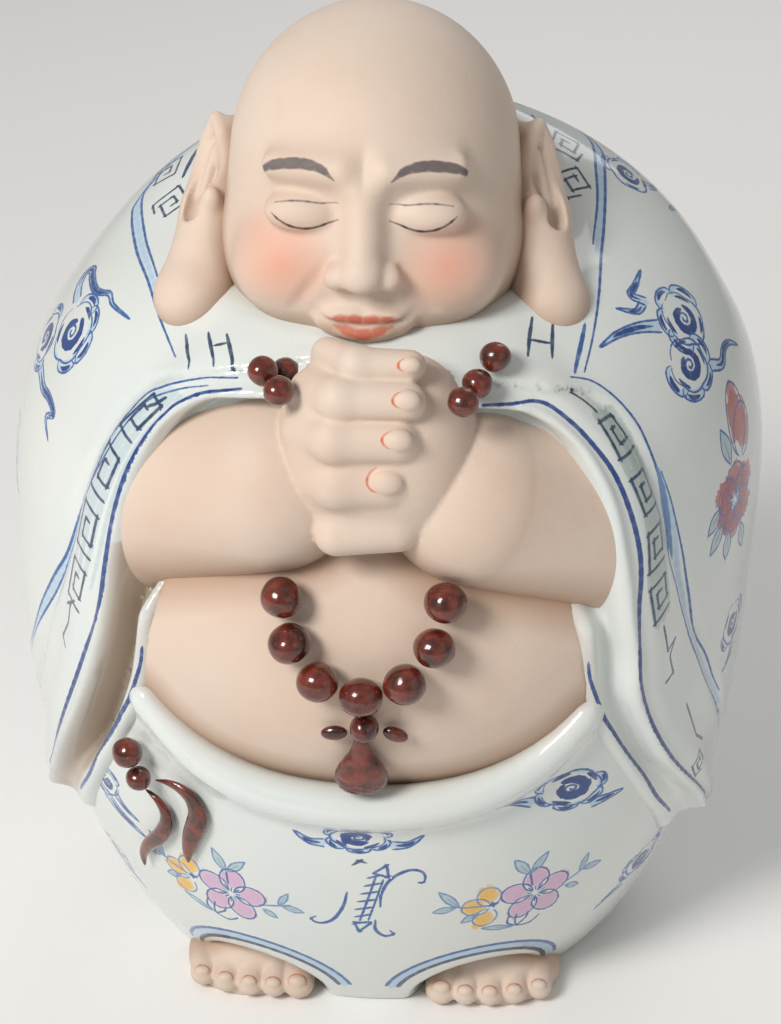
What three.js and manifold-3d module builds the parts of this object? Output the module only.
// A stout bald monk in hand-painted porcelain, his hands clasped before him: one hollow casting, here a
// solid, and the brown-glazed beads, tassel and ribbons that are rolled by hand and luted onto it.
// Millimetres, +Z up, the face to -Y, the origin in the middle of the flat underside.
import * as THREE from "three";
import { mergeVertices } from "three/addons/utils/BufferGeometryUtils.js";
import Module from "manifold-3d";

// Sizes
const figureHeight = 258;
const halfWidth = 94.5;
const frontDepth = 82;
const backDepth = 75;
const necklaceBeadCount = 7;
const necklaceBeadDiameter = 10.2;
const neckBeadsPerSide = 3;
const neckBeadDiameter = 7.4;
const dropBeadDiameter = 7.2;
const bowLoopLength = 6.4;
const bowLoopWidth = 3.8;
const tasselLength = 16.5;
const tasselWidth = 12.6;
const tasselThickness = 6.4;
const upperWaistBeadDiameter = 8;
const lowerWaistBeadDiameter = 6.6;
const frontRibbonWidth = 5.9;
const sideRibbonWidth = 4.7;
const ribbonThickness = 2.8;
const lutingGap = 0.3;

// How finely the casting is described
const meshCell = 2.3;
const figureTriangles = 7000;
const baseTrim = 4;

// The body's places below are drawn for a figure of these measures, and keep their share of each of them
const drawnHeight = 258;
const drawnHalfWidth = 94.5;
const drawnFrontDepth = 82;
const drawnBackDepth = 75;
const growth = {
  across: halfWidth / drawnHalfWidth,
  forward: frontDepth / drawnFrontDepth,
  back: backDepth / drawnBackDepth,
  up: figureHeight / drawnHeight,
};
const leastGrowth = Math.min(...Object.values(growth));
const mostGrowth = Math.max(...Object.values(growth));

// Soft joins of distances, in the drawn figure's millimetres
const clamp = THREE.MathUtils.clamp;
const rise = (x, from, to) => THREE.MathUtils.smoothstep(x, from, to);

function blend(a, b, softness) {
  const h = clamp(0.5 + (0.5 * (b - a)) / softness, 0, 1);
  return b + (a - b) * h - softness * h * (1 - h);
}
const carve = (a, b, softness) => -blend(-a, b, softness);
const meet = (a, b, softness) => -blend(-a, -b, softness);
const bump = (x, width) => Math.exp(-((x / width) ** 2));

const length = (x, y, z) => Math.sqrt(x * x + y * y + z * z);

function ellipsoid([cx, cy, cz], [rx, ry, rz]) {
  return (x, y, z) => {
    const qx = (x - cx) / rx;
    const qy = (y - cy) / ry;
    const qz = (z - cz) / rz;
    const near = length(qx, qy, qz);
    const slope = length(qx / rx, qy / ry, qz / rz);
    return (near * (near - 1)) / Math.max(slope, 1e-6);
  };
}

// A rod with round ends whose radius runs from one value to another
function limb([ax, ay, az], [bx, by, bz], fromRadius, toRadius) {
  const [dx, dy, dz] = [bx - ax, by - ay, bz - az];
  const length2 = dx * dx + dy * dy + dz * dz;
  return (x, y, z) => {
    const along = ((x - ax) * dx + (y - ay) * dy + (z - az) * dz) / length2;
    const t = clamp(along, 0, 1);
    const away = length(x - ax - t * dx, y - ay - t * dy, z - az - t * dz);
    return away - fromRadius - (toRadius - fromRadius) * t;
  };
}

// A smooth line through a few knots, read by its first coordinate
function line(knots) {
  const steps = 240;
  const first = knots[0][0];
  const last = knots.at(-1)[0];
  const slopes = knots.map((_, i) => {
    const before = knots[Math.max(i - 1, 0)];
    const after = knots[Math.min(i + 1, knots.length - 1)];
    return (after[1] - before[1]) / (after[0] - before[0]);
  });
  const table = new Float64Array(steps + 1);
  for (let s = 0, i = 0; s <= steps; s++) {
    const x = first + ((last - first) * s) / steps;
    while (i < knots.length - 2 && x > knots[i + 1][0]) i++;
    const width = knots[i + 1][0] - knots[i][0];
    const t = (x - knots[i][0]) / width;
    table[s] =
      (2 * t ** 3 - 3 * t ** 2 + 1) * knots[i][1] +
      (t ** 3 - 2 * t ** 2 + t) * width * slopes[i] +
      (3 * t ** 2 - 2 * t ** 3) * knots[i + 1][1] +
      (t ** 3 - t ** 2) * width * slopes[i + 1];
  }
  return (x) => {
    const at = clamp(((x - first) / (last - first)) * steps, 0, steps);
    const i = Math.min(Math.floor(at), steps - 1);
    return table[i] + (table[i + 1] - table[i]) * (at - i);
  };
}

// The wrapped body: an egg flattened to front and back, with the bent back as a hump on it
const waistHeight = 117.5;
const crownReach = 88;
const footReach = 150;
const eggSoftness = 84;
const hump = ellipsoid([0, 15, 172], [70, 43, 51]);

function egg(x, y, z) {
  const lean = 3.6 * clamp((z - 110) / 80, 0, 1);
  const up = z > waistHeight;
  const power = up ? 2.83 : 2.38;
  const ring = length((x - lean) / drawnHalfWidth, y / (y < 0 ? drawnFrontDepth : drawnBackDepth), 0);
  const share = Math.abs(z - waistHeight) / (up ? crownReach : footReach);
  const body = ((ring ** power + share ** power) ** (1 / power) - 1) * eggSoftness;
  return blend(body, hump(x - lean, y, z), 14);
}

// Edges on the robe, as [height, degrees round from the front]
const sleeveRim = line([
  [40, 73], [50, 68], [62, 61.5], [72, 57], [80, 53.5], [95, 48], [110, 44], [122, 42], [134, 40.8],
  [143, 39.8], [152, 38.8], [158, 37.8], [164, 36.2], [168, 34.9], [172, 33], [176, 30.8], [182, 27.5],
  [190, 23],
]);
const cuffSeam = line([
  [40, 98], [60, 83], [82, 70.5], [95, 65], [106, 61.5], [119, 57], [128, 54.5], [135, 52.6], [147, 50.7],
  [154, 49.2], [160, 47.7], [167, 46], [174, 43], [178, 39.5], [181, 33], [184, 22], [190, 0],
]);
const coatEdge = line([
  [20, 73], [40, 66], [47, 62.5], [60, 55.5], [70, 50.5], [80, 45.8], [88, 42.3], [96, 39.8], [102, 38.3],
  [110, 37.4], [118, 36.9], [125, 36.3], [135, 35.8], [150, 35],
]);
// Edges that run round the robe, as [degrees round from the front, height]
const sleeveTop = line([
  [0, 181.2], [10, 179.8], [20, 178.4], [28, 177], [34, 175.8], [45, 172.5], [60, 167],
]);
const coatHem = line([[0, 44], [60, 44], [78, 46], [95, 42], [115, 32], [140, 22], [180, 18]]);
const millimetresPerDegree = 1.4;
const degreesRound = (x, y) => THREE.MathUtils.radToDeg(Math.atan2(Math.abs(x), -y));

// The left sleeve's mouth hangs a little further forward beside the belly
const leftRimForward = 2.2;
const rimForward = (z) => leftRimForward * rise(z, 55, 80) * (1 - rise(z, 98, 115));
const rimDegrees = (x, z) => sleeveRim(z) - (x > 0 ? rimForward(z) : 0);

// How far the cloth lies behind the rim of the sleeve's mouth, negative in the opening
function behindRim(x, y, z) {
  const round = degreesRound(x, y);
  return meet((round - rimDegrees(x, z)) * millimetresPerDegree, z - sleeveTop(round), 7);
}

function sleeves(x, y, z) {
  const round = degreesRound(x, y);
  const behind = behindRim(x, y, z);
  const cuff = 3 * bump(behind - 7, 7.5);
  const lip = 2 * bump(behind - 1.6, 1.9);
  const seam = 1.1 * bump((round - cuffSeam(z)) * millimetresPerDegree, 1.8);
  const cloth = meet(egg(x, y, z) - cuff - lip + seam, -behind, 3);
  return meet(cloth, coatHem(round) - z, 4);
}

// The coat's front beside the belly: a flat border, then a slope back into the pocket under the sleeve's
// mouth, and a top that is tucked in under the arm
const rightPocketDepth = 9;
const leftPocketDepth = 4;
const flatShare = 0.3;
const tuckDepth = 8;
const coatTop = 138;
const underRim = 6;

function coatFront(x, y, z) {
  const round = degreesRound(x, y);
  const behindEdge = (round - coatEdge(z)) * millimetresPerDegree;
  const breadth = Math.max((rimDegrees(x, z) - coatEdge(z)) * millimetresPerDegree, 1);
  const slope = clamp((behindEdge / breadth - flatShare) / (1 - flatShare), 0, 1) ** 1.2;
  const pocket = (x < 0 ? rightPocketDepth : leftPocketDepth) * rise(z, 56, 80) * slope;
  const tucked = tuckDepth * rise(z, 120, 132);
  const cloth = meet(egg(x, y, z) + 0.5 + pocket + tucked, Math.max(-behindEdge, coatHem(round) - z), 3);
  return Math.max(meet(cloth, z - coatTop, 3), behindRim(x, y, z) - underRim);
}

// Trousers with a rolled waistband that hangs in a curve under the belly
const beltHalfWidth = 52;
const beltRadius = 5.3;
const beltEndRadius = 3.8;
const beltSink = 2.6;
const beltEndSink = 4.2;
const beltSteps = 22;
const beltHeight = (x) => 76.8 + 0.0025 * x ** 2 + 1.8e-6 * x ** 4;

const beltRods = Array.from({ length: beltSteps }, (_, i) => {
  const ends = [i, i + 1].map((k) => {
    const x = beltHalfWidth * ((2 * k) / beltSteps - 1);
    const share = (x / beltHalfWidth) ** 2;
    const z = beltHeight(x);
    const ring = (1 - ((waistHeight - z) / footReach) ** 2.38) ** (1 / 2.38);
    const sink = beltSink + (beltEndSink - beltSink) * share;
    const y = -(drawnFrontDepth - sink) * Math.sqrt(ring ** 2 - (x / drawnHalfWidth) ** 2);
    return { at: [x, y, z], radius: beltRadius + (beltEndRadius - beltRadius) * share };
  });
  return limb(ends[0].at, ends[1].at, ends[0].radius, ends[1].radius);
});

function waistband(x, y, z) {
  let distance = Infinity;
  for (const rod of beltRods) distance = Math.min(distance, rod(x, y, z));
  return distance;
}

const hemArch = ellipsoid([31.5, -60, -3], [21.5, 24, 19.5]);

function trousers(x, y, z) {
  const skin = egg(x, y, z);
  const overBelt = z - beltHeight(x);
  const underCoat = (degreesRound(x, y) - coatEdge(z) - 3) * millimetresPerDegree;
  const above = Math.max(meet(skin + 2.6, overBelt, 3), z - 100);
  const cloth = meet(above, Math.min(underCoat, z - 58), 2);
  const legs = carve(cloth, hemArch(Math.abs(x), y, z), 2.5);
  const behindBelt = Math.max(skin + 5, overBelt - 4, underCoat);
  return Math.min(blend(legs, waistband(x, y, z), 6), behindBelt);
}

// What lies in the dark under the cloth
const lining = (x, y, z) => egg(x, y, z) + 13 - 9.5 * rise(z, 140, 158);
const neckHollow = ellipsoid([0, -30, 227], [56, 46, 39]);

function robe(x, y, z) {
  const front = blend(trousers(x, y, z), coatFront(x, y, z), 1);
  const cloth = Math.min(blend(front, sleeves(x, y, z), 3), lining(x, y, z));
  return carve(cloth, neckHollow(x, y, z), 7);
}

// Belly and chest
const bellyRound = ellipsoid([0, -13, 108.5], [80.5, 70.5, 55]);
const chestRound = ellipsoid([0, -14, 158], [46, 44, 36]);

function belly(x, y, z) {
  const skin = blend(bellyRound(x, y, z), chestRound(x, y, z), 12);
  const underCoat = (degreesRound(x, y) - coatEdge(z) - 0.8) * millimetresPerDegree;
  return carve(Math.max(skin, underCoat), neckHollow(x, y, z), 7);
}

// Forearms that come out of the sleeves and meet in front of the chest
const leftForearm = limb([58, -38, 137], [25, -62, 154], 26, 21.5);
const rightForearm = limb([-57, -37, 139], [-21, -62, 155.5], 25.5, 21);

function forearms(x, y, z) {
  const arms = Math.min(leftForearm(x, y, z), rightForearm(x, y, z));
  return meet(arms, behindRim(x, y, z) - 5, 2);
}

// One hand closed round the fist of the other, four fingers wrapped across the front
const fingers = [
  { height: 191.2, front: -79, root: -7.5, tip: 11, radius: 3.9 },
  { height: 184.9, front: -84.2, root: -11, tip: 10.6, radius: 4.7 },
  { height: 176.2, front: -86.6, root: -12.2, tip: 8.8, radius: 5.2 },
  { height: 165, front: -85.6, root: -11.5, tip: 6, radius: 6.2 },
].map(({ height, front, root, tip, radius }) => {
  const axis = front + radius * 0.9;
  return [
    limb([root, front + 12, height - 1.5], [root + 7, axis, height], radius, radius),
    limb([root + 7, axis, height], [tip, axis, height], radius, radius * 0.92),
  ];
});
const palm = ellipsoid([2, -68, 167.5], [20, 16, 22]);
const coveringHand = ellipsoid([-5.5, -69, 170], [12, 14, 20]);
const coveredFist = ellipsoid([12, -67, 166.5], [14.5, 16, 22.5]);
const thumb = limb([-5, -78, 151], [8, -77, 152], 5.4, 5.4);

function hands(x, y, z) {
  const back = blend(palm(x, y, z), coveringHand(x, y, z), 6);
  let skin = blend(back, coveredFist(x, y, z), 6);
  for (const [root, end] of fingers) {
    skin = blend(skin, blend(root(x, y, z), end(x, y, z), 2), 1.5);
  }
  return blend(skin, thumb(x, y, z), 3);
}

// The head, in its own upright frame, tipped back a little: bald, full-cheeked and calm
const headPlace = [0, -27, 216];
const headTilt = THREE.MathUtils.degToRad(-2);
const headForms = {
  skull: ellipsoid([0, 2, 6], [33.2, 36.5, 34.6]),
  jowl: ellipsoid([0, -3, -14], [35, 32, 25]),
  chin: ellipsoid([0, -25, -32], [11, 9, 7]),
  cheek: ellipsoid([17, -23.5, -13], [12, 9.5, 11]),
  socket: ellipsoid([13.5, -42, 3.5], [11, 8.5, 6]),
  lid: ellipsoid([13.5, -30, 2], [8.6, 5.2, 5]),
  noseBridge: limb([0, -33.5, 7], [0, -38.5, -8], 2.6, 4.2),
  noseTip: ellipsoid([0, -39, -9], [4.6, 4.4, 4]),
  noseWing: ellipsoid([5.6, -36.5, -10], [3.6, 4, 3.2]),
  lips: ellipsoid([0, -34.5, -21.5], [9.5, 3.8, 3.6]),
  neck: limb([0, 13, -8], [0, 15, -41], 23.5, 27),
};
const earForms = {
  shell: limb([33.5, 7, 7], [37.5, -1, -8], 5, 6.5),
  lobe: limb([37.5, -1, -8], [40.5, -11, -24.5], 6.5, 9),
  behindLobe: limb([33, 4, -6], [35, -2, -27], 6, 9),
  hollow: ellipsoid([40, -6, -1], [3.4, 4, 8]),
};

function inHead(x, y, z) {
  const back = y - headPlace[1];
  const up = z - headPlace[2];
  const cos = Math.cos(headTilt);
  const sin = Math.sin(headTilt);
  return [x - headPlace[0], back * cos + up * sin, up * cos - back * sin];
}

function head(x, y, z) {
  const [across, deep, high] = inHead(x, y, z);
  const at = (form) => headForms[form](Math.abs(across), deep, high);
  let skin = blend(Math.min(at("skull"), at("neck")), at("jowl"), 10);
  skin = blend(skin, at("chin"), 8);
  skin = blend(skin, at("cheek"), 7);
  skin = carve(skin, at("socket"), 7);
  skin = blend(skin, at("lid"), 1.8);
  skin = blend(skin, at("noseBridge"), 5);
  skin = blend(skin, at("noseTip"), 2.5);
  skin = blend(skin, at("noseWing"), 2);
  return blend(skin, at("lips"), 2.6);
}

function ears(x, y, z) {
  const [across, deep, high] = inHead(x, y, z);
  const at = (form) => earForms[form](Math.abs(across), deep, high);
  const shell = blend(Math.min(at("shell"), at("behindLobe")), at("lobe"), 4);
  return carve(shell, at("hollow"), 2);
}

// Feet under the hem, five toes each
const instep = ellipsoid([31.5, -39, 2], [17.8, 16, 13]);
const toes = Array.from({ length: 5 }, (_, i) => {
  const x = 18.6 + i * 6.3;
  const y = -55 + (i - 1.4) ** 2 * 0.55;
  const radius = i === 0 ? 4.1 : 3.4;
  return limb([x, y + 9, 7.2], [x, y, 4.4], radius, radius);
});

function feet(x, y, z) {
  let skin = instep(Math.abs(x), y, z);
  for (const toe of toes) skin = blend(skin, toe(Math.abs(x), y, z), 1.4);
  return skin;
}

const limbsAndHead = (x, y, z) =>
  Math.min(forearms(x, y, z), hands(x, y, z), head(x, y, z), ears(x, y, z), feet(x, y, z));

// A dent under the jaw, where the hindmost bead of the string on that side is pressed in
const beadDent = ellipsoid([-17.6, -65.5, 184.9], [5.2, 5.2, 5.2]);

// Slip gathered in the crease where belt, belly and coat edge meet
const creaseSlip = limb([48.5, -61.5, 79], [49.5, -60.5, 99], 5, 4);

// The whole casting at its real size, running a little below the ground, where it is cut flat later
function figureField(x, y, z) {
  const [dx, dy, dz] = [x / growth.across, y / (y < 0 ? growth.forward : growth.back), z / growth.up];
  const clothed = blend(robe(dx, dy, dz), belly(dx, dy, dz), 5);
  const joined = blend(clothed, limbsAndHead(dx, dy, dz), 3);
  const whole = blend(joined, creaseSlip(Math.abs(dx), dy, dz), 3);
  const form = carve(whole, beadDent(dx, dy, dz), 1);
  return Math.max(form, -dz - baseTrim) * leastGrowth;
}

// Surface nets: one vertex in every cell that the surface crosses, one square across every crossed edge.
// Blocks of cells far from the surface are filled from one look at their middle.
function meshOfField(field, low, high, cell) {
  const block = 4;
  const count = low.map((v, k) => Math.ceil((high[k] - v) / cell / block) * block + 1);
  const [nx, ny, nz] = count;
  const step = [1, nx, nx * ny];
  const values = new Float32Array(nx * ny * nz);
  const far = cell * block * 1.5;
  const sample = (i, j, k) => field(low[0] + i * cell, low[1] + j * cell, low[2] + k * cell);
  const known = new Uint8Array(values.length);
  for (let k = 0; k < nz - 1; k += block)
    for (let j = 0; j < ny - 1; j += block)
      for (let i = 0; i < nx - 1; i += block) {
        const middle = sample(i + block / 2, j + block / 2, k + block / 2);
        for (let c = k; c <= k + block; c++)
          for (let b = j; b <= j + block; b++)
            for (let a = i; a <= i + block; a++) {
              const at = a + b * step[1] + c * step[2];
              if (known[at]) continue;
              if (Math.abs(middle) > far) {
                values[at] = values[at] || Math.sign(middle) * far;
              } else {
                values[at] = sample(a, b, c) || 1e-6;
                known[at] = 1;
              }
            }
      }
  fillCrossedCells(values, count, step);
  return netOf(values, count, step, low, cell);
}

// A cell is plain when its solid corners hang together along its edges, its empty ones do too, and no
// face has solid and empty corners crosswise
const cellCorners = [0, 1, 2, 3, 4, 5, 6, 7];

function hangTogether(chosen) {
  const first = chosen.indexOf(true);
  const reached = new Set([first]);
  for (const c of reached) {
    [1, 2, 4].filter((bit) => chosen[c ^ bit]).forEach((bit) => reached.add(c ^ bit));
  }
  return first < 0 || reached.size === chosen.filter(Boolean).length;
}

const plainCell = Array.from({ length: 256 }, (_, mask) => {
  const solid = cellCorners.map((c) => ((mask >> c) & 1) === 1);
  const faceIsCrossed = (c, u, v) =>
    solid[c] === solid[c | u | v] && solid[c | u] === solid[c | v] && solid[c] !== solid[c | u];
  const crosswise = [[1, 2], [2, 4], [4, 1]].some(([u, v]) =>
    cellCorners.filter((c) => !(c & (u | v))).some((c) => faceIsCrossed(c, u, v)),
  );
  return !crosswise && hangTogether(solid) && hangTogether(solid.map((value) => !value));
});

const offsetsOf = (step) => cellCorners.map((c) => (c & 1) + ((c >> 1) & 1) * step[1] + (c >> 2) * step[2]);

// Cells that aren't plain are filled, so that no two sheets of the surface share a vertex
function fillCrossedCells(values, [nx, ny, nz], step) {
  const speck = 1e-3;
  const offsets = offsetsOf(step);
  let changed = true;
  while (changed) {
    changed = false;
    for (let k = 0; k < nz - 1; k++)
      for (let j = 0; j < ny - 1; j++)
        for (let i = 0; i < nx - 1; i++) {
          const at = i + j * step[1] + k * step[2];
          let mask = 0;
          for (const c of cellCorners) if (values[at + offsets[c]] < 0) mask |= 1 << c;
          if (plainCell[mask]) continue;
          const empty = cellCorners.filter((c) => !((mask >> c) & 1));
          const enough = empty.find((c) => plainCell[mask | (1 << c)]);
          for (const c of enough === undefined ? empty : [enough]) values[at + offsets[c]] = -speck;
          changed = true;
        }
  }
}

function netOf(values, [nx, ny, nz], step, low, cell) {
  const vertexOf = new Int32Array(values.length).fill(-1);
  const positions = [];
  const offsets = offsetsOf(step);
  for (let k = 0; k < nz - 1; k++)
    for (let j = 0; j < ny - 1; j++)
      for (let i = 0; i < nx - 1; i++) {
        const at = i + j * step[1] + k * step[2];
        const signs = offsets.map((offset) => values[at + offset]);
        const solid = signs.filter((value) => value < 0).length;
        if (solid === 0 || solid === signs.length) continue;
        const sum = [0, 0, 0];
        let crossings = 0;
        for (const c of cellCorners)
          for (let axis = 0; axis < 3; axis++) {
            const other = c | (1 << axis);
            if (other === c || signs[c] < 0 === signs[other] < 0) continue;
            const share = signs[c] / (signs[c] - signs[other]);
            for (let m = 0; m < 3; m++) sum[m] += ((c >> m) & 1) + (m === axis ? share : 0);
            crossings++;
          }
        vertexOf[at] = positions.length / 3;
        [i, j, k].forEach((index, m) => positions.push(low[m] + (index + sum[m] / crossings) * cell));
      }
  const triangles = [];
  for (let axis = 0; axis < 3; axis++) {
    const u = step[(axis + 1) % 3];
    const v = step[(axis + 2) % 3];
    for (let k = 1; k < nz - 1; k++)
      for (let j = 1; j < ny - 1; j++)
        for (let i = 1; i < nx - 1; i++) {
          const at = i + j * step[1] + k * step[2];
          const inside = values[at] < 0;
          if (inside === values[at + step[axis]] < 0) continue;
          const ring = [at - u - v, at - v, at, at - u].map((index) => vertexOf[index]);
          const [a, b, c, d] = inside ? ring : ring.reverse();
          triangles.push(a, b, c, a, c, d);
        }
  }
  return { positions, triangles };
}

// Collapses the edges whose loss changes the surface least, by quadric error, down to a wanted count
function simplify({ positions, triangles }, wanted) {
  const vertexCount = positions.length / 3;
  const point = Array.from({ length: vertexCount }, (_, i) => positions.slice(3 * i, 3 * i + 3));
  const quadric = Array.from({ length: vertexCount }, () => new Float64Array(10));
  const faces = [];
  const facesOf = Array.from({ length: vertexCount }, () => new Set());
  const version = new Uint32Array(vertexCount);
  const subtract = (a, b) => [a[0] - b[0], a[1] - b[1], a[2] - b[2]];
  const cross = (a, b) => [
    a[1] * b[2] - a[2] * b[1],
    a[2] * b[0] - a[0] * b[2],
    a[0] * b[1] - a[1] * b[0],
  ];
  const dot = (a, b) => a[0] * b[0] + a[1] * b[1] + a[2] * b[2];
  const normalOf = (a, b, c) => cross(subtract(b, a), subtract(c, a));

  for (let i = 0; i < triangles.length; i += 3) {
    const face = triangles.slice(i, i + 3);
    faces.push(face);
    const normal = normalOf(...face.map((v) => point[v]));
    const area = length(...normal) || 1e-12;
    const [nx, ny, nz] = normal.map((value) => value / area);
    const offset = -dot([nx, ny, nz], point[face[0]]);
    const plane = [
      nx * nx, nx * ny, nx * nz, nx * offset, ny * ny,
      ny * nz, ny * offset, nz * nz, nz * offset, offset ** 2,
    ];
    for (const v of face) {
      facesOf[v].add(faces.length - 1);
      plane.forEach((value, k) => (quadric[v][k] += value * area));
    }
  }

  function error(q, [x, y, z]) {
    const squares = q[0] * x * x + q[4] * y * y + q[7] * z * z;
    const mixed = q[1] * x * y + q[2] * x * z + q[5] * y * z + q[3] * x + q[6] * y + q[8] * z;
    return squares + 2 * mixed + q[9];
  }

  function bestPlace(a, b) {
    const q = quadric[a].map((value, k) => value + quadric[b][k]);
    const middle = point[a].map((value, k) => (value + point[b][k]) / 2);
    const choices = [middle, point[a], point[b]];
    const rows = [[q[0], q[1], q[2]], [q[1], q[4], q[5]], [q[2], q[5], q[7]]];
    const right = [-q[3], -q[6], -q[8]];
    const whole = dot(rows[0], cross(rows[1], rows[2]));
    if (Math.abs(whole) > 1e-3 * (q[0] + q[4] + q[7]) ** 3) {
      choices.push([
        dot(right, cross(rows[1], rows[2])) / whole,
        dot(rows[0], cross(right, rows[2])) / whole,
        dot(rows[0], cross(rows[1], right)) / whole,
      ]);
    }
    let best = { cost: Infinity };
    for (const place of choices) {
      const cost = error(q, place);
      if (cost < best.cost) best = { cost, place, q };
    }
    return best;
  }

  const heap = [];
  function push(entry) {
    let i = heap.push(entry) - 1;
    while (i > 0) {
      const parent = (i - 1) >> 1;
      if (heap[parent].cost <= entry.cost) break;
      heap[i] = heap[parent];
      i = parent;
    }
    heap[i] = entry;
  }
  function pop() {
    const top = heap[0];
    const entry = heap.pop();
    if (heap.length === 0) return top;
    let i = 0;
    for (;;) {
      let child = 2 * i + 1;
      if (child >= heap.length) break;
      if (child + 1 < heap.length && heap[child + 1].cost < heap[child].cost) child++;
      if (heap[child].cost >= entry.cost) break;
      heap[i] = heap[child];
      i = child;
    }
    heap[i] = entry;
    return top;
  }
  const offer = (a, b) => push({ a, b, ...bestPlace(a, b), seen: version[a] + version[b] });
  const neighbours = (v) => {
    const around = new Set([...facesOf[v]].flatMap((f) => faces[f]));
    around.delete(v);
    return around;
  };
  // A face may not turn far, nor shrink to a sliver, as its corner moves
  const leastTurn = 0.3;
  const leastSpread = 0.05;
  const keepsFaces = (v, other, place) => {
    for (const f of facesOf[v]) {
      if (faces[f].includes(other)) continue;
      const before = faces[f].map((w) => point[w]);
      const after = faces[f].map((w) => (w === v ? place : point[w]));
      const [old, fresh] = [normalOf(...before), normalOf(...after)];
      const [oldSize, freshSize] = [length(...old), length(...fresh)];
      const sides = after.map((p, k) => subtract(p, after[(k + 1) % 3]));
      const longest = Math.max(...sides.map((side) => dot(side, side)));
      if (dot(old, fresh) < leastTurn * oldSize * freshSize) return false;
      if (freshSize < leastSpread * longest) return false;
    }
    return true;
  };

  for (let v = 0; v < vertexCount; v++) {
    [...neighbours(v)].filter((w) => w > v).forEach((w) => offer(v, w));
  }
  let left = faces.length;
  while (left > wanted && heap.length) {
    const { a, b, place, q, seen } = pop();
    if (!facesOf[a].size || !facesOf[b].size || seen !== version[a] + version[b]) continue;
    const around = neighbours(a);
    const shared = [...neighbours(b)].filter((w) => around.has(w));
    if (!around.has(b) || shared.length !== 2) continue;
    if (!keepsFaces(a, b, place) || !keepsFaces(b, a, place)) continue;
    point[a] = place;
    quadric[a] = q;
    for (const f of facesOf[b]) {
      if (faces[f].includes(a)) {
        faces[f].filter((w) => w !== b).forEach((w) => facesOf[w].delete(f));
        faces[f] = null;
        left--;
      } else {
        faces[f] = faces[f].map((w) => (w === b ? a : w));
        facesOf[a].add(f);
      }
    }
    facesOf[b].clear();
    version[a]++;
    for (const w of neighbours(a)) offer(a, w);
  }
  const kept = faces.filter(Boolean);
  const order = new Map();
  kept.flat().forEach((v) => order.has(v) || order.set(v, order.size));
  return {
    positions: [...order.keys()].flatMap((v) => point[v]),
    triangles: kept.flat().map((v) => order.get(v)),
  };
}

const wasm = await Module();
wasm.setup();

const solidOf = ({ positions, triangles }) =>
  new wasm.Manifold(
    new wasm.Mesh({
      numProp: 3,
      vertProperties: new Float32Array(positions),
      triVerts: new Uint32Array(triangles),
    }),
  );

function geometryOf(solid) {
  const mesh = solid.getMesh();
  const geometry = new THREE.BufferGeometry();
  geometry.setAttribute("position", new THREE.BufferAttribute(mesh.vertProperties, 3));
  geometry.setIndex(new THREE.BufferAttribute(mesh.triVerts, 1));
  geometry.computeVertexNormals();
  return geometry;
}

// The casting, cut flat where it stands
function boxSolid(width, depth, height, x, y, z) {
  const box = new THREE.BoxGeometry(width, depth, height).translate(x, y, z);
  box.deleteAttribute("normal");
  box.deleteAttribute("uv");
  const merged = mergeVertices(box);
  return solidOf({ positions: merged.attributes.position.array, triangles: merged.index.array });
}

function figureGeometry() {
  const high = [102 * growth.across, 84 * growth.back, 262 * growth.up];
  const low = [-high[0], -98 * growth.forward, -(baseTrim + meshCell * 2) * growth.up];
  const net = meshOfField(figureField, low, high, meshCell * mostGrowth);
  const casting = solidOf(simplify(net, figureTriangles));
  const size = high[2] * 2;
  const ground = boxSolid(size, size, size, 0, 0, -size / 2);
  return geometryOf(casting.subtract(ground));
}

const figure = new THREE.Mesh(
  figureGeometry(),
  new THREE.MeshStandardMaterial({ color: 0xe3e9ea, roughness: 0.16, metalness: 0 }),
);
figure.name = "figure";

// Nearest point of the casting, and how far a point is from it, below zero inside
const figureFaces = (() => {
  const place = figure.geometry.attributes.position;
  const index = figure.geometry.index.array;
  const corner = (i) => new THREE.Vector3().fromBufferAttribute(place, index[i]);
  const faces = [];
  for (let i = 0; i < index.length; i += 3) {
    const triangle = new THREE.Triangle(corner(i), corner(i + 1), corner(i + 2));
    const middle = triangle.getMidpoint(new THREE.Vector3());
    const reach = Math.max(...[triangle.a, triangle.b, triangle.c].map((p) => p.distanceTo(middle)));
    faces.push({ triangle, middle, reach });
  }
  return faces;
})();

function clearance(point) {
  const near = new THREE.Vector3();
  const closest = new THREE.Vector3();
  let distance = Infinity;
  for (const { triangle, middle, reach } of figureFaces) {
    if (middle.distanceTo(point) - reach > distance) continue;
    triangle.closestPointToPoint(point, near);
    if (near.distanceTo(point) >= distance) continue;
    distance = near.distanceTo(point);
    closest.copy(near);
  }
  const outside = Math.sign(figureField(point.x, point.y, point.z)) || 1;
  const away = point.clone().sub(closest).normalize().multiplyScalar(outside);
  return { distance: distance * outside, away };
}

// Places are drawn in the figure's millimetres, as the body's are
const drawn = (x, y, z) =>
  new THREE.Vector3(x * growth.across, y * (y < 0 ? growth.forward : growth.back), z * growth.up);

// The point in front of the casting at a drawn x and z that is a given distance off it
function inFront(x, z, distance) {
  const point = drawn(x, -110, z);
  for (let tries = 0; tries < 60; tries++) {
    const free = figureField(point.x, point.y, point.z) - distance;
    if (Math.abs(free) < 0.02) break;
    point.y += free * 0.7;
  }
  return settle(point, distance);
}

// Moves a point until it is at least a given distance off the casting
function settle(point, distance) {
  const place = point.clone();
  for (let tries = 0; tries < 12; tries++) {
    const { distance: free, away } = clearance(place);
    if (free >= distance) break;
    place.addScaledVector(away, distance - free + 0.01);
  }
  return place;
}

const beadGlaze = new THREE.MeshStandardMaterial({ color: 0x4a1710, roughness: 0.14, metalness: 0 });
const trim = new THREE.Group();

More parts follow.
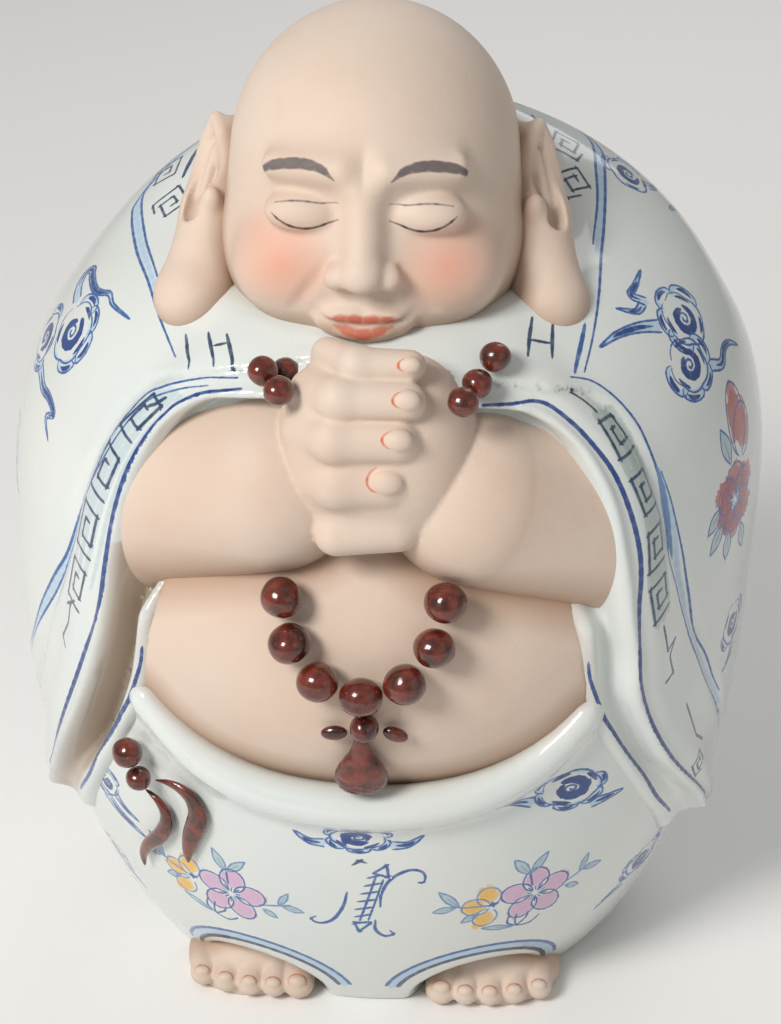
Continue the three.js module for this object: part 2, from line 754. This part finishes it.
function addPiece(name, geometry, place = new THREE.Vector3()) {
  const mesh = new THREE.Mesh(geometry, beadGlaze);
  mesh.name = name;
  mesh.position.copy(place);
  trim.add(mesh);
  return mesh;
}

function addBead(name, diameter, place) {
  return addPiece(name, new THREE.SphereGeometry(diameter / 2, 10, 7), place);
}

// The necklace: a curve round the belly below the arms, each bead one spacing on from the last
const necklaceMiddle = [0.9, 135];
const necklaceReach = [18.6, 20.8];

function onNecklace(angle) {
  const x = necklaceMiddle[0] + necklaceReach[0] * Math.sin(angle);
  const z = necklaceMiddle[1] - necklaceReach[1] * Math.cos(angle);
  return inFront(x, z, necklaceBeadDiameter / 2 + lutingGap);
}

function necklaceSide(direction, count) {
  const places = [];
  let angle = 0;
  let last = onNecklace(0);
  for (let i = 0; i < count; i++) {
    let next = last;
    while (next.distanceTo(last) < necklaceBeadDiameter + lutingGap) {
      angle += direction * 0.01;
      next = onNecklace(angle);
    }
    places.push(next);
    last = next;
  }
  return places;
}

const perSide = (necklaceBeadCount - 1) / 2;
const necklace = [
  ...necklaceSide(-1, perSide).reverse(),
  onNecklace(0),
  ...necklaceSide(1, perSide),
];
necklace.forEach((place, i) => addBead(`necklace-bead-${i + 1}`, necklaceBeadDiameter, place));

// The same string where it shows at the collar, each bead one spacing on from the last
const neckStrings = {
  right: [[-17.3, -78.4, 185.8], [-22, -71.4, 187.7], [-17.6, -65.5, 184.9]],
  left: [[22.8, -79.2, 184.6], [25.4, -72.6, 185.8], [28, -66, 187.3]],
};

function besides(last, step, apart, free) {
  let next = last;
  for (let along = apart; next.distanceTo(last) < apart; along += 0.1) {
    next = settle(last.clone().addScaledVector(step, along), free);
  }
  return next;
}

for (const [side, places] of Object.entries(neckStrings)) {
  const apart = neckBeadDiameter + lutingGap;
  const free = neckBeadDiameter / 2 + lutingGap;
  let last = null;
  for (let i = 0; i < neckBeadsPerSide; i++) {
    const wanted = drawn(...places[i]);
    if (last) {
      const step = wanted.sub(drawn(...places[i - 1])).normalize();
      last = besides(last, step, apart, free);
    } else {
      last = settle(wanted, free);
    }
    addBead(`neck-bead-${side}-${i + 1}`, neckBeadDiameter, last);
  }
}

// Under the lowest bead: a small bead, two leaf-shaped loops and a bell-shaped tassel
const lowest = necklace[perSide];
const dropSpacing = (necklaceBeadDiameter + dropBeadDiameter) / 2 + lutingGap;
const dropPlace = inFront(
  lowest.x / growth.across + 0.6,
  (lowest.z - dropSpacing) / growth.up,
  dropBeadDiameter / 2 + lutingGap,
);
addBead("drop-bead", dropBeadDiameter, dropPlace);

function bowLoop(side, direction, tilt) {
  const geometry = new THREE.SphereGeometry(0.5, 10, 7);
  geometry.scale(bowLoopLength, bowLoopWidth * 0.7, bowLoopWidth).rotateY(direction * tilt);
  const x = dropPlace.x + direction * ((dropBeadDiameter + bowLoopLength) / 2 + lutingGap);
  const z = dropPlace.z - dropBeadDiameter * 0.42;
  const place = inFront(x / growth.across, z / growth.up, bowLoopWidth / 2 + lutingGap);
  addPiece(`bow-loop-${side}`, geometry, place);
}
bowLoop("right", -1, 0.1);
bowLoop("left", 1, 0.35);

// A flat strap of clay along a row of points, an oval in section and a point at both ends, moved out
// until all of it stands off the casting
function strap(points, halfWidth, halfThickness) {
  const sides = 8;
  const rings = 11;
  const curve = new THREE.CatmullRomCurve3(points);
  const outward = clearance(curve.getPoint(0.5)).away;
  const corners = [];
  const triangles = [];
  for (let r = 1; r < rings; r++) {
    const t = (1 - Math.cos((Math.PI * r) / rings)) / 2;
    const along = curve.getTangent(t);
    const across = new THREE.Vector3().crossVectors(along, outward).normalize();
    const up = new THREE.Vector3().crossVectors(across, along);
    for (let k = 0; k < sides; k++) {
      const turn = (2 * Math.PI * k) / sides;
      const corner = curve.getPoint(t).addScaledVector(across, Math.cos(turn) * halfWidth(t));
      corners.push(corner.addScaledVector(up, Math.sin(turn) * halfThickness(t)));
    }
  }
  corners.push(curve.getPoint(0), curve.getPoint(1));
  const [start, end] = [corners.length - 2, corners.length - 1];
  const lastRing = (rings - 2) * sides;
  for (let k = 0; k < sides; k++) {
    const next = (k + 1) % sides;
    for (let ring = 0; ring < lastRing; ring += sides) {
      const [a, b] = [ring + k, ring + next];
      triangles.push(a, b + sides, b, a, a + sides, b + sides);
    }
    triangles.push(start, k, next, end, lastRing + next, lastRing + k);
  }
  const free = Math.min(...corners.map((corner) => clearance(corner).distance));
  if (free < lutingGap) {
    for (const corner of corners) corner.addScaledVector(outward, lutingGap - free);
  }
  const geometry = new THREE.BufferGeometry().setFromPoints(corners).setIndex(triangles);
  geometry.computeVertexNormals();
  return geometry;
}

const bellShape = line([
  [0, 0.15], [0.1, 0.28], [0.2, 0.33], [0.3, 0.46], [0.42, 0.7], [0.54, 0.9], [0.67, 0.99],
  [0.8, 1], [0.9, 0.95], [0.96, 0.8], [1, 0.5],
]);
const bellHalfThickness = (t) => (tasselThickness / 2) * Math.sqrt(bellShape(t));
const tasselStart = dropPlace.z - dropBeadDiameter / 2 - lutingGap;
const tasselLine = [0, 0.25, 0.5, 0.75, 1].map((t) =>
  inFront(
    (dropPlace.x - 1) / growth.across,
    (tasselStart - tasselLength * t) / growth.up,
    bellHalfThickness(t) + lutingGap,
  ),
);
addPiece("tassel", strap(tasselLine, (t) => (tasselWidth / 2) * bellShape(t), bellHalfThickness));

// At the waist: two beads and two ribbons that curl down from them, places as [across, height]
const waistBeadPlaces = [[-57.6, 82.2], [-55.4, 75.2]];
const upperWaistBead = inFront(...waistBeadPlaces[0], upperWaistBeadDiameter / 2 + lutingGap);
const lowerWaistBead = besides(
  upperWaistBead,
  inFront(...waistBeadPlaces[1], lowerWaistBeadDiameter / 2 + lutingGap).sub(upperWaistBead).normalize(),
  (upperWaistBeadDiameter + lowerWaistBeadDiameter) / 2 + lutingGap,
  lowerWaistBeadDiameter / 2 + lutingGap,
);
addBead("waist-bead-upper", upperWaistBeadDiameter, upperWaistBead);
addBead("waist-bead-lower", lowerWaistBeadDiameter, lowerWaistBead);

const ribbons = {
  front: {
    width: frontRibbonWidth,
    path: [
      [-51.2, 74.4], [-46.8, 74.8], [-42.4, 72.6], [-40.7, 67.4], [-41.7, 63.2], [-43.3, 58.3],
      [-44.4, 52.7], [-44.3, 49.1],
    ],
  },
  side: {
    width: sideRibbonWidth,
    path: [
      [-54.4, 69.6], [-51.6, 68.2], [-49.2, 64.6], [-49.3, 60.4], [-51.6, 54.8], [-55.3, 49.6],
      [-57.1, 44.6], [-56.9, 40],
    ],
  },
};
const ribbonShape = (t) => Math.sin(Math.PI * t ** 1.1) ** 0.9;
const ribbonHalfThickness = (t) => (ribbonThickness / 2) * Math.sqrt(ribbonShape(t));
for (const [name, { width, path }] of Object.entries(ribbons)) {
  const points = path.map(([x, z]) => inFront(x, z, ribbonThickness / 2 + lutingGap));
  addPiece(`waist-ribbon-${name}`, strap(points, (t) => (width / 2) * ribbonShape(t), ribbonHalfThickness));
}

const group = new THREE.Group();
group.add(figure, trim);
export default group;
